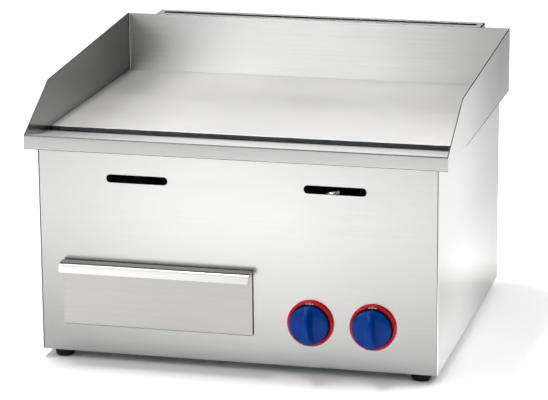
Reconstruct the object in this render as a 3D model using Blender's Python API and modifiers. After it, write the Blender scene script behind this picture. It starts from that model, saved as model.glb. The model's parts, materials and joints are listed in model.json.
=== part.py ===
"""Two-burner countertop gas griddle: sheet-metal cabinet, steel plate, splash guards and gas train.

Lengths are in metres and +Z is up.  Everything hangs on one empty whose origin lies on the ground
under the middle of the cabinet's front face, so a piece's own y runs back from that face.
"""
import math

import bmesh
import bpy
from mathutils import Matrix, Vector

# --- driving dimensions ---------------------------------------------------------------------
SHEET = 0.0012              # cabinet sheet
GUARD_SHEET = 0.0015        # splash guard sheet
GAP = 0.0003                # clearance between faces that touch on the real object

CABINET_WIDTH = 0.580
CABINET_DEPTH = 0.500
FOOT_HEIGHT = 0.013         # ground to the underside of the cabinet
SURROUND_WIDTH = 0.610      # across the splash guards
LIP_OVERHANG = 0.015        # front lip ahead of the cabinet
LIP_BOTTOM = 0.312
LIP_TOP = 0.333
BEND = 0.0020               # bend radius of folded sheet, on its middle line
TIGHT_BEND = 0.0011         # the same for the front panel's corners

PLATE_TOP = 0.320
PLATE_THICKNESS = 0.006
PLATE_FRONT = 0.1015
GUARD_TOP = 0.4105
KNEE_BACK = 0.098           # where the guard's sloping front edge ends
KNEE_TOP = 0.3895
GUARD_LEDGE_FRONT = 0.1345  # where the side guards' inturned ledge starts
CORNER_SEAM = 0.0004        # open seam between the front and side panels

FLUE_WIDTH = 0.520
FLUE_DEPTH = 0.038
FLUE_SLOT = 0.013
FLUE_BOTTOM = 0.235

DRAWER_WIDTH = 0.2795
DRAWER_CENTRE = -0.11525
DRAWER_BOTTOM = 0.054
DRAWER_TOP = 0.1506
TRAY_WIDTH = 0.2395
TRAY_LENGTH = 0.370
TRAY_BOTTOM = 0.062
TRAY_TOP = 0.135

SLOT_LENGTH = 0.090
SLOT_HEIGHT = 0.012
SLOT_CENTRE = 0.1435        # lighting slots and burners, either side of the middle
SLOT_LEVEL = 0.2725

KNOB_PLACES = {"left": 0.108, "right": 0.198}
KNOB_LEVEL = 0.078
KNOB_RADIUS = 0.028
KNOB_FRONT = 0.040          # how far the grip stands out of the cabinet's front face
BEZEL_RADIUS = 0.0335

BURNER_LEVEL = 0.262
BURNER_RADIUS = 0.0127
BURNER_PITCH = 0.100        # between the two legs of a burner
BURNER_BACK = 0.430
SHIELD_LEVEL = 0.2150       # top of the heat shield

PIPE_RADIUS = 0.0107
PIPE_X = 0.255
PIPE_Y = 0.044
PIPE_LEVEL = 0.045
FEED_RADIUS = 0.004
INLET_END = 0.530

CHUTE_X = -0.222
GUTTER_FRONT = 0.0975
GUTTER_BACK = 0.1225
GUTTER_FLOOR = 0.297
FOOT_X = 0.263
FOOT_YS = (0.020, 0.480)
SCREW_X = 0.281
SCREW_LEVELS = (0.060, 0.240)

# --- positions worked out from them ---------------------------------------------------------
HALF_CABINET = CABINET_WIDTH / 2
HALF_SURROUND = SURROUND_WIDTH / 2
INSIDE_GUARDS = HALF_SURROUND - GUARD_SHEET - GAP
CABINET_TOP = LIP_BOTTOM - 0.0007
PLATE_BOTTOM = PLATE_TOP - PLATE_THICKNESS
FLUE_BACK = CABINET_DEPTH + FLUE_DEPTH
FRONT_Y = -(FLUE_BACK - KNOB_FRONT) / 2
CHUTE_Y = (GUTTER_FRONT + GUTTER_BACK) / 2
TRAY_FRONT = -0.0030
BACK = Matrix.Rotation(-math.pi / 2, 4, "X")     # turns a +Z axis to +Y
FORWARD = Matrix.Rotation(math.pi / 2, 4, "X")   # turns a +Z axis to -Y


# --- scene and materials --------------------------------------------------------------------
for old in list(bpy.data.objects):
    bpy.data.objects.remove(old, do_unlink=True)

PARTS = bpy.data.collections.new("flat_top_griddle")
CUTTERS = bpy.data.collections.new("cutters")
for collection in (PARTS, CUTTERS):
    bpy.context.scene.collection.children.link(collection)


def make_material(name, colour, roughness, metallic):
    material = bpy.data.materials.new(name)
    material.use_nodes = True
    shader = material.node_tree.nodes["Principled BSDF"]
    shader.inputs["Base Color"].default_value = (*colour, 1)
    shader.inputs["Roughness"].default_value = roughness
    shader.inputs["Metallic"].default_value = metallic
    return material


STAINLESS = make_material("stainless", (0.72, 0.72, 0.71), 0.28, 1)
DRAWER_STEEL = make_material("drawer_steel", (0.64, 0.60, 0.60), 0.35, 1)
PLATE_STEEL = make_material("plate_steel", (0.60, 0.60, 0.59), 0.38, 1)
DARK_STEEL = make_material("dark_steel", (0.20, 0.20, 0.21), 0.50, 1)
GALVANISED = make_material("galvanised", (0.50, 0.52, 0.53), 0.45, 1)
BRASS = make_material("brass", (0.78, 0.58, 0.26), 0.30, 1)
ALUMINIUM = make_material("aluminium", (0.75, 0.76, 0.77), 0.35, 1)
ZINC = make_material("zinc", (0.62, 0.63, 0.65), 0.35, 1)
RED = make_material("red_plastic", (0.72, 0.02, 0.03), 0.30, 0)
BLUE = make_material("blue_plastic", (0.01, 0.06, 0.38), 0.25, 0)
RUBBER = make_material("rubber", (0.02, 0.02, 0.02), 0.80, 0)


def make_empty(name, location, parent=None):
    empty = bpy.data.objects.new(name, None)
    empty.location = location
    empty.parent = parent
    PARTS.objects.link(empty)
    return empty


FRAME = make_empty("griddle_frame", (0, FRONT_Y, 0))


# --- shapes ---------------------------------------------------------------------------------
def add_object(name, data, parent=FRAME, location=(0, 0, 0), turn=None):
    piece = bpy.data.objects.new(name, data)
    piece.location = location
    if turn is not None:
        piece.rotation_euler = turn.to_euler()
    piece.parent = parent
    PARTS.objects.link(piece)
    return piece


def finish_piece(piece, material):
    """Give a piece its material and shade its round faces smooth."""
    piece.data.materials.clear()
    piece.data.materials.append(material)
    if piece.type == "MESH":
        piece.data.shade_smooth()
        piece.data.set_sharp_from_angle(angle=math.radians(35))
    return piece


def mesh_from(name, bm):
    mesh = bpy.data.meshes.new(name)
    bm.to_mesh(mesh)
    bm.free()
    return mesh


def round_corners(points, radius, steps=3):
    """Replace each inner corner of a path by an arc that starts radius before it."""
    points = [Vector(p) for p in points]
    path = [points[0]]
    for before, corner, after in zip(points, points[1:], points[2:]):
        reach = min(radius, (before - corner).length * 0.45, (after - corner).length * 0.45)
        start = corner + (before - corner).normalized() * reach
        end = corner + (after - corner).normalized() * reach
        for step in range(steps + 1):
            t = step / steps
            path.append(start * (1 - t) ** 2 + corner * 2 * t * (1 - t) + end * t ** 2)
    path.append(points[-1])
    return path


def folded_sheet(name, path, plane, low, high, thickness=SHEET, bend=BEND, parent=FRAME):
    """Sheet metal whose middle line is a path in plane YZ, XZ or XY, run from low to high."""
    place = {
        "YZ": lambda p, along: (along, p.x, p.y),
        "XZ": lambda p, along: (p.x, along, p.y),
        "XY": lambda p, along: (p.x, p.y, along),
    }[plane]
    bm = bmesh.new()
    rounded = round_corners([(*point, 0) for point in path], bend)
    rows = [[bm.verts.new(place(p, along)) for p in rounded] for along in (low, high)]
    for index in range(len(rounded) - 1):
        bm.faces.new((rows[0][index], rows[0][index + 1], rows[1][index + 1], rows[1][index]))
    piece = add_object(name, mesh_from(name, bm), parent)
    add_thickness(piece, thickness, 0)
    return piece


def add_thickness(piece, thickness, offset):
    shell = piece.modifiers.new("thickness", "SOLIDIFY")
    shell.thickness = thickness
    shell.offset = offset
    shell.use_even_offset = True


def add_bevel(piece, width, segments=2, angle=40):
    bevel = piece.modifiers.new("edges", "BEVEL")
    bevel.width = width
    bevel.segments = segments
    bevel.limit_method = "ANGLE"
    bevel.angle_limit = math.radians(angle)


def box(name, low, high, parent=FRAME, open_sides=()):
    """Axis-aligned box; open_sides lists outward directions whose face is left out."""
    low, high = Vector(low), Vector(high)
    bm = bmesh.new()
    bmesh.ops.create_cube(bm, size=1)
    bmesh.ops.scale(bm, vec=high - low, verts=bm.verts)
    bmesh.ops.translate(bm, vec=(low + high) / 2, verts=bm.verts)
    bm.normal_update()
    doomed = [f for f in bm.faces if any(f.normal.dot(Vector(side)) > 0.9 for side in open_sides)]
    bmesh.ops.delete(bm, geom=doomed, context="FACES")
    return add_object(name, mesh_from(name, bm), parent)


def cylinder(name, centre, radius, length, turn=None, sides=20, parent=FRAME):
    """Cylinder or prism along +Z, or along the axis that turn gives."""
    bm = bmesh.new()
    bmesh.ops.create_cone(bm, cap_ends=True, segments=sides, radius1=radius, radius2=radius, depth=length)
    return add_object(name, mesh_from(name, bm), parent, centre, turn)


def turned(name, profile, location, turn=None, steps=16, parent=FRAME, closed=False):
    """Body of revolution about its own +Z from (radius, height) points, outer side top to bottom."""
    mesh = bpy.data.meshes.new(name)
    edges = [(i, i + 1) for i in range(len(profile) - 1)]
    if closed:
        edges.append((len(profile) - 1, 0))
    mesh.from_pydata([(radius, 0, height) for radius, height in profile], edges, [])
    piece = add_object(name, mesh, parent, location, turn)
    screw = piece.modifiers.new("turn", "SCREW")
    screw.steps = screw.render_steps = steps
    screw.use_merge_vertices = True
    screw.merge_threshold = 0.00001
    screw.use_smooth_shade = True
    return piece


def tube(name, points, radius, resolution=4, corner=0.02, steps=4, parent=FRAME):
    """Round bar along a path, whose corners are rounded unless corner is 0."""
    path = round_corners(points, corner, steps) if corner else points
    curve = bpy.data.curves.new(name, "CURVE")
    curve.dimensions = "3D"
    curve.bevel_depth = radius
    curve.bevel_resolution = resolution
    curve.use_fill_caps = True
    spline = curve.splines.new("POLY")
    spline.points.add(len(path) - 1)
    for point, place in zip(spline.points, path):
        point.co = (*place, 1)
    return add_object(name, curve, parent)


def curve_to_mesh(piece):
    """Swap a curve piece for a closed mesh of the same name, so that it can be cut."""
    bpy.context.view_layer.update()
    evaluated = piece.evaluated_get(bpy.context.evaluated_depsgraph_get())
    mesh = bpy.data.meshes.new_from_object(evaluated)
    bm = bmesh.new()
    bm.from_mesh(mesh)
    bmesh.ops.remove_doubles(bm, verts=bm.verts, dist=0.00001)
    bmesh.ops.recalc_face_normals(bm, faces=bm.faces)
    bm.to_mesh(mesh)
    bm.free()
    name, parent = piece.name, piece.parent
    bpy.data.objects.remove(piece, do_unlink=True)
    return add_object(name, mesh, parent)


def combine(piece, tool, operation):
    PARTS.objects.unlink(tool)
    CUTTERS.objects.link(tool)
    tool.hide_render = True
    tool.display_type = "WIRE"
    boolean = piece.modifiers.new(tool.name, "BOOLEAN")
    boolean.operation = operation
    boolean.object = tool
    boolean.solver = "EXACT"
    return piece


def cut(piece, tool):
    return combine(piece, tool, "DIFFERENCE")


def join(piece, tool):
    return combine(piece, tool, "UNION")


def slot_cutter(name, centre, length, height, depth, axis="Y", rounding=6):
    """Round-ended slot through a wall, long along X; axis is the way it goes through."""
    size = (length, depth, height) if axis == "Y" else (length, height, depth)
    half = Vector(size) / 2
    cutter = box(name, Vector(centre) - half, Vector(centre) + half)
    bm = bmesh.new()
    bm.from_mesh(cutter.data)
    through = Vector((0, 1, 0)) if axis == "Y" else Vector((0, 0, 1))
    ends = [e for e in bm.edges if abs((e.verts[0].co - e.verts[1].co).normalized().dot(through)) > 0.9]
    bmesh.ops.bevel(bm, geom=ends, offset=height * 0.49, segments=rounding, profile=0.5, affect="EDGES")
    bm.to_mesh(cutter.data)
    bm.free()
    return cutter


# --- cabinet --------------------------------------------------------------------------------
def build_front_panel():
    face = SHEET / 2
    side = HALF_CABINET - SHEET - CORNER_SEAM - SHEET / 2
    path = [(-side, 0.018), (-side, face), (side, face), (side, 0.018)]
    panel = folded_sheet("front_panel", path, "XY", FOOT_HEIGHT, LIP_BOTTOM + 0.006, bend=TIGHT_BEND)
    half_tray = TRAY_WIDTH / 2 + 0.0015
    cut(panel, box("drawer_opening", (DRAWER_CENTRE - half_tray, -0.01, TRAY_BOTTOM - 0.0015),
                   (DRAWER_CENTRE + half_tray, 0.01, TRAY_TOP + 0.0015)))
    for side_name, sign in (("left", -1), ("right", 1)):
        cut(panel, slot_cutter(f"{side_name}_slot_cutter", (sign * SLOT_CENTRE, 0, SLOT_LEVEL),
                               SLOT_LENGTH, SLOT_HEIGHT, 0.02))
    for side_name, x in KNOB_PLACES.items():
        cut(panel, cylinder(f"{side_name}_spindle_hole", (x, 0, KNOB_LEVEL), 0.006, 0.02, BACK))
    finish_piece(panel, STAINLESS)


def build_side_panel(side_name, sign):
    web = sign * (HALF_CABINET - SHEET / 2)
    back = CABINET_DEPTH - SHEET - GAP - SHEET / 2
    path = [(web, GAP), (web, back), (web - sign * 0.018, back)]
    panel = folded_sheet(f"{side_name}_side_panel", path, "XY", FOOT_HEIGHT, CABINET_TOP)
    for number, level in enumerate(SCREW_LEVELS):
        cut(panel, cylinder(f"{side_name}_flange_hole_{number}", (sign * SCREW_X, back, level), 0.0023, 0.01,
                            BACK, 16))
    finish_piece(panel, STAINLESS)


def build_rear_panel():
    low = (-HALF_CABINET, CABINET_DEPTH - SHEET, FOOT_HEIGHT)
    panel = box("rear_panel", low, (HALF_CABINET, CABINET_DEPTH, CABINET_TOP))
    y = CABINET_DEPTH
    for number, x in enumerate((-0.165, -0.055, 0.055, 0.165)):
        cut(panel, slot_cutter(f"vent_{number}", (x, y, 0.145), 0.080, 0.010, 0.02, rounding=3))
    cut(panel, box("exhaust_opening", (-0.220, y - 0.01, 0.262), (0.220, y + 0.01, 0.300)))
    cut(panel, cylinder("inlet_hole", (PIPE_X, y, PIPE_LEVEL), 0.0115, 0.02, BACK))
    for sign in (-1, 1):
        for number, level in enumerate(SCREW_LEVELS):
            cut(panel, cylinder(f"screw_hole_{sign}_{number}", (sign * SCREW_X, y, level), 0.0023, 0.01,
                                BACK, 16))
    finish_piece(panel, STAINLESS)


def build_base_pan():
    side = HALF_CABINET - SHEET - 0.0022
    pan = box("base_pan", (-side, SHEET + 0.0004, FOOT_HEIGHT),
              (side, CABINET_DEPTH - 0.0032, FOOT_HEIGHT + 0.015), open_sides=((0, 0, 1),))
    add_bevel(pan, 0.0015)
    add_thickness(pan, SHEET, -1)
    for x in (-FOOT_X, FOOT_X):
        for y in FOOT_YS:
            cut(pan, cylinder(f"foot_hole_{x}_{y}", (x, y, FOOT_HEIGHT), 0.0029, 0.01, sides=16))
    finish_piece(pan, GALVANISED)


def build_feet():
    rubber = ((0.0028, 0.0127), (0.0150, 0.0127), (0.0148, 0.0080), (0.0134, 0.0028), (0.0112, 0),
              (0.0052, 0), (0.0052, 0.0062), (0.0028, 0.0062))
    screw = ((0, 0.0240), (0.0025, 0.0240), (0.0025, 0.0059), (0.0045, 0.0059), (0.0045, 0.0040),
             (0.0035, 0.0030), (0, 0.0030))
    places = {"front_left": (-FOOT_X, FOOT_YS[0]), "front_right": (FOOT_X, FOOT_YS[0]),
              "rear_left": (-FOOT_X, FOOT_YS[1]), "rear_right": (FOOT_X, FOOT_YS[1])}
    for name, (x, y) in places.items():
        finish_piece(turned(f"{name}_foot", rubber, (x, y, 0), steps=20, closed=True), RUBBER)
        finish_piece(turned(f"{name}_foot_screw", screw, (x, y, 0), steps=12), ZINC)


def build_rear_screws():
    profile = ((0, 0.0027), (0.0024, 0.0025), (0.0040, 0.0010), (0.0040, 0), (0.0020, 0), (0.0020, -0.0120),
               (0, -0.0125))
    for side_name, sign in (("left", -1), ("right", 1)):
        for height_name, level in zip(("lower", "upper"), SCREW_LEVELS):
            place = (sign * SCREW_X, CABINET_DEPTH + GAP, level)
            finish_piece(turned(f"{side_name}_{height_name}_rear_screw", profile, place, BACK, 12), ZINC)


# --- cooking top ----------------------------------------------------------------------------
def build_front_trough():
    half = SHEET / 2
    front = half - LIP_OVERHANG
    path = [(-0.0008, LIP_BOTTOM + half), (front, LIP_BOTTOM + half), (front, LIP_TOP - half),
            (0.054, 0.3190), (GUTTER_FRONT - half, PLATE_BOTTOM - 0.0009),
            (GUTTER_FRONT - half, GUTTER_FLOOR + half), (GUTTER_BACK, GUTTER_FLOOR + half),
            (GUTTER_BACK, PLATE_BOTTOM - GAP - half), (GUTTER_BACK + 0.0115, PLATE_BOTTOM - GAP - half)]
    trough = folded_sheet("front_trough", path, "YZ", -HALF_SURROUND, HALF_SURROUND)
    inner = HALF_CABINET - SHEET - 0.0023
    for side_name, sign in (("left", -1), ("right", 1)):
        ends = sorted((sign * INSIDE_GUARDS, sign * (HALF_SURROUND + 0.01)))
        cut(trough, box(f"{side_name}_lip_relief", (ends[0], front + half + 0.0001, 0.28),
                        (ends[1], 0.15, 0.36)))
        ends = sorted((sign * inner, sign * (HALF_SURROUND + 0.02)))
        cut(trough, box(f"{side_name}_gutter_relief", (ends[0], 0.090, 0.28), (ends[1], 0.150, 0.3119)))
        ends = sorted((sign * inner, sign * (inner - SHEET)))
        join(trough, box(f"{side_name}_gutter_end",
                         (ends[0], GUTTER_FRONT - SHEET + 0.0001, GUTTER_FLOOR + 0.0001),
                         (ends[1], GUTTER_BACK + half - 0.0001, 0.3122)))
        ends = sorted((sign * (inner - SHEET + 0.0001), sign * (INSIDE_GUARDS - 0.0001)))
        join(trough, box(f"{side_name}_gutter_shelf", (ends[0], GUTTER_FRONT - SHEET + 0.0001, 0.3120),
                         (ends[1], GUTTER_BACK + half - 0.0001, 0.3129)))
    cut(trough, cylinder("drain_hole", (CHUTE_X, CHUTE_Y, GUTTER_FLOOR), 0.0098, 0.01))
    finish_piece(trough, STAINLESS)


def build_side_guard(side_name, sign):
    half = GUARD_SHEET / 2
    x = sign * (HALF_SURROUND - half)
    front = SHEET + 0.0004 - LIP_OVERHANG
    ledge = LIP_BOTTOM + half
    outline = [(front, ledge), (front, LIP_TOP), (KNEE_BACK, KNEE_TOP), (CABINET_DEPTH, GUARD_TOP),
               (CABINET_DEPTH, ledge), (CABINET_DEPTH - GUARD_SHEET - GAP, ledge), (GUARD_LEDGE_FRONT, ledge)]
    bm = bmesh.new()
    corners = [bm.verts.new((x, y, z)) for y, z in outline]
    bm.faces.new(corners if sign < 0 else corners[::-1])
    bottom = bm.edges.get((corners[5], corners[6]))
    ledge_edge = bmesh.ops.extrude_edge_only(bm, edges=[bottom])["geom"]
    inward = -sign * (HALF_SURROUND - HALF_CABINET - half - 0.0007)
    free_corners = [v for v in ledge_edge if isinstance(v, bmesh.types.BMVert)]
    bmesh.ops.translate(bm, vec=(inward, 0, 0), verts=free_corners)
    guard = add_object(f"{side_name}_splash_guard", mesh_from(f"{side_name}_splash_guard", bm))
    add_bevel(guard, BEND, 3)
    add_thickness(guard, GUARD_SHEET, 0)
    finish_piece(guard, STAINLESS)


def build_cooking_top():
    plate = box("griddle_plate", (-INSIDE_GUARDS, PLATE_FRONT, PLATE_BOTTOM),
                (INSIDE_GUARDS, CABINET_DEPTH - GUARD_SHEET - GAP, PLATE_TOP))
    add_bevel(plate, 0.0007)
    finish_piece(plate, PLATE_STEEL)
    guard = box("rear_splash_guard", (-INSIDE_GUARDS, CABINET_DEPTH - GUARD_SHEET, CABINET_TOP + GAP),
                (INSIDE_GUARDS, CABINET_DEPTH, GUARD_TOP))
    add_bevel(guard, 0.0004, 1)
    finish_piece(guard, STAINLESS)
    for side_name, sign in (("left", -1), ("right", 1)):
        build_side_guard(side_name, sign)
        wall = sign * (HALF_CABINET - SHEET - 0.0004 - SHEET / 2)
        top = PLATE_BOTTOM - GAP - SHEET / 2
        path = [(wall, 0.285), (wall, top), (wall - sign * 0.026, top)]
        rail = folded_sheet(f"{side_name}_plate_rail", path, "XZ", 0.140, 0.494)
        finish_piece(rail, GALVANISED)


def build_flue():
    wall = FLUE_WIDTH / 2 - SHEET - GAP - SHEET / 2
    back = FLUE_BACK - SHEET - GAP - SHEET / 2
    front = CABINET_DEPTH + GAP + SHEET / 2
    path = [(-wall - 0.014, front), (-wall, front), (-wall, back), (wall, back), (wall, front),
            (wall + 0.014, front)]
    duct = folded_sheet("flue_duct", path, "XY", FLUE_BOTTOM, GUARD_TOP - SHEET - GAP)
    join(duct, box("flue_floor", (-wall, front - SHEET / 2, FLUE_BOTTOM + 0.0001),
                   (wall, back, FLUE_BOTTOM + SHEET)))
    for side_name, sign in (("left", -1), ("right", 1)):
        ends = sorted((sign * (wall + SHEET / 2 + 0.0001), sign * (wall + 0.030)))
        cut(duct, box(f"{side_name}_cap_relief", (ends[0], front - 0.01, GUARD_TOP - 0.0125),
                      (ends[1], back, GUARD_TOP)))
    finish_piece(duct, STAINLESS)

    half = FLUE_WIDTH / 2
    cap = box("flue_cap", (-half, CABINET_DEPTH + 0.0006, GUARD_TOP - 0.012), (half, FLUE_BACK, GUARD_TOP),
              open_sides=((0, 0, -1), (0, -1, 0)))
    add_bevel(cap, 0.0016, 3)
    add_thickness(cap, SHEET, -1)
    middle = CABINET_DEPTH + FLUE_DEPTH / 2
    cut(cap, box("flue_slot", (-half + 0.010, middle - FLUE_SLOT / 2, 0.39),
                 (half - 0.010, middle + FLUE_SLOT / 2, 0.42)))
    finish_piece(cap, STAINLESS)


# --- drawer ---------------------------------------------------------------------------------
def build_drawer():
    slide = make_empty("drawer_slide", (DRAWER_CENTRE, 0, 0), FRAME)
    half = DRAWER_WIDTH / 2
    face = -0.0039
    path = [(-0.0009, DRAWER_BOTTOM + SHEET / 2), (face, DRAWER_BOTTOM + SHEET / 2),
            (face, DRAWER_TOP - SHEET / 2), (-0.0185, 0.1490), (-0.0222, 0.1474), (-0.0273, 0.1370)]
    front = folded_sheet("drawer_front", path, "YZ", -half, half, bend=0.0015, parent=slide)
    for side_name, sign in (("left", -1), ("right", 1)):
        ends = sorted((sign * half, sign * (half - SHEET)))
        join(front, box(f"{side_name}_drawer_return", (ends[0], face, DRAWER_BOTTOM + 0.0002),
                        (ends[1], -0.0010, 0.1470), slide))
    finish_piece(front, DRAWER_STEEL)

    half_tray = TRAY_WIDTH / 2
    tray = box("grease_tray", (-half_tray, TRAY_FRONT, TRAY_BOTTOM),
               (half_tray, TRAY_FRONT + TRAY_LENGTH, TRAY_TOP), slide, open_sides=((0, 0, 1),))
    add_bevel(tray, 0.0025, 3)
    add_thickness(tray, SHEET, -1)
    finish_piece(tray, STAINLESS)

    ledge = TRAY_BOTTOM - GAP - SHEET / 2
    floor = FOOT_HEIGHT + SHEET + GAP + SHEET / 2
    for side_name, sign in (("left", -1), ("right", 1)):
        outer = DRAWER_CENTRE + sign * (half_tray + 0.0023)
        inner = outer - sign * 0.015
        path = [(outer, 0.100), (outer, ledge), (inner, ledge), (inner, floor),
                (inner - sign * 0.0123, floor)]
        runner = folded_sheet(f"{side_name}_drawer_runner", path, "XZ", 0.0035, 0.400)
        finish_piece(runner, GALVANISED)

    chute = ((0.0140, GUTTER_FLOOR - GAP), (0.0140, 0.2950), (0.0110, 0.2950), (0.0110, 0.1450),
             (0.0098, 0.1450), (0.0098, GUTTER_FLOOR - GAP))
    finish_piece(turned("grease_chute", chute, (CHUTE_X, CHUTE_Y, 0), closed=True), STAINLESS)


# --- burners --------------------------------------------------------------------------------
def burner_ports(name, xs):
    """Small slots across the top of both legs, as one cutter."""
    bm = bmesh.new()
    for x in xs:
        for number in range(9):
            port = bmesh.ops.create_cube(bm, size=1)["verts"]
            bmesh.ops.scale(bm, vec=(0.012, 0.0016, 0.006), verts=port)
            bmesh.ops.translate(bm, vec=(x, 0.14 + 0.03 * number, BURNER_LEVEL + BURNER_RADIUS), verts=port)
    return add_object(name, mesh_from(name, bm))


def build_burner(side_name, sign):
    closed_x = sign * SLOT_CENTRE - BURNER_PITCH / 2
    inlet_x = sign * SLOT_CENTRE + BURNER_PITCH / 2
    bend = BURNER_PITCH / 2
    turn_y = BURNER_BACK - BURNER_RADIUS - bend
    path = [(closed_x, 0.075, BURNER_LEVEL)]
    for step in range(11):
        angle = math.pi * (1 - step / 10)
        path.append((closed_x + bend + bend * math.cos(angle), turn_y + bend * math.sin(angle), BURNER_LEVEL))
    path.append((inlet_x, 0.105, BURNER_LEVEL))
    burner = curve_to_mesh(tube(f"{side_name}_burner_tube", path, BURNER_RADIUS, 3, corner=0))
    cut(burner, burner_ports(f"{side_name}_ports", (closed_x, inlet_x)))
    finish_piece(burner, DARK_STEEL)

    outer = [(0.0175, 0), (0.0165, 0.002), (0.0130, 0.008), (0.0110, 0.016), (0.0110, 0.024),
             (0.0125, 0.046), (0.0125, 0.0517)]
    wall = [(radius - 0.0013, height) for radius, height in outer]
    venturi = turned(f"{side_name}_venturi", outer[::-1] + wall, (inlet_x, 0.0530, BURNER_LEVEL), BACK,
                     closed=True)
    finish_piece(venturi, ALUMINIUM)

    axis = make_empty(f"{side_name}_air_shutter_axis", (inlet_x, 0.0505, BURNER_LEVEL), FRAME)
    ring = ((0.0060, SHEET), (0.0180, SHEET), (0.0180, 0), (0.0060, 0))
    shutter = turned(f"{side_name}_air_shutter", ring, (0, 0, 0), BACK, 20, axis, True)
    for number in range(4):
        angle = math.radians(45 + 90 * number)
        centre = (0.0118 * math.cos(angle), 0, 0.0118 * math.sin(angle))
        hole = cylinder(f"{side_name}_air_window_{number}", centre, 0.0040, 0.01, BACK, 12, axis)
        cut(shutter, hole)
    finish_piece(shutter, ALUMINIUM)

    injector = cylinder(f"{side_name}_injector", (inlet_x, 0.0270, BURNER_LEVEL), 0.0085, 0.0160, BACK, 6)
    nose = ((0, 0.0225), (0.0012, 0.0225), (0.0040, 0.0185), (0.0040, 0), (0, 0))
    join(injector, turned(f"{side_name}_injector_nose", nose, (inlet_x, 0.0270, BURNER_LEVEL), BACK))
    finish_piece(injector, BRASS)
    return inlet_x


def build_burner_supports():
    legs = [sign * SLOT_CENTRE + side * BURNER_PITCH / 2 for sign in (-1, 1) for side in (-1, 1)]
    flange = SHIELD_LEVEL + GAP + SHEET / 2
    for name, y in (("front_burner_bracket", 0.128), ("rear_burner_bracket", 0.340)):
        path = [(y + 0.014, flange), (y, flange), (y, BURNER_LEVEL)]
        bracket = folded_sheet(name, path, "YZ", -0.272, 0.272)
        for number, x in enumerate(legs):
            cut(bracket, cylinder(f"{name}_saddle_{number}", (x, y, BURNER_LEVEL), BURNER_RADIUS + GAP, 0.02,
                                  BACK))
        for number, x in enumerate((-SLOT_CENTRE, 0, SLOT_CENTRE)):
            cut(bracket, box(f"{name}_window_{number}", (x - 0.030, y - 0.01, 0.232),
                             (x + 0.030, y + 0.01, 0.270)))
        finish_piece(bracket, GALVANISED)

    wall = HALF_CABINET - SHEET - 0.0020 - SHEET / 2
    level = SHIELD_LEVEL - SHEET / 2
    path = [(-wall, 0.195), (-wall, level), (wall, level), (wall, 0.195)]
    shield = folded_sheet("heat_shield", path, "XZ", 0.062, 0.470)
    cut(shield, cylinder("chute_hole", (CHUTE_X, CHUTE_Y, level), 0.0125, 0.01))
    for number, x in enumerate(legs):
        for row, y in enumerate((0.20, 0.28)):
            cut(shield, slot_cutter(f"air_slot_{number}_{row}", (x, y, level), 0.050, 0.012, 0.01, "Z", 2))
    finish_piece(shield, GALVANISED)


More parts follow.
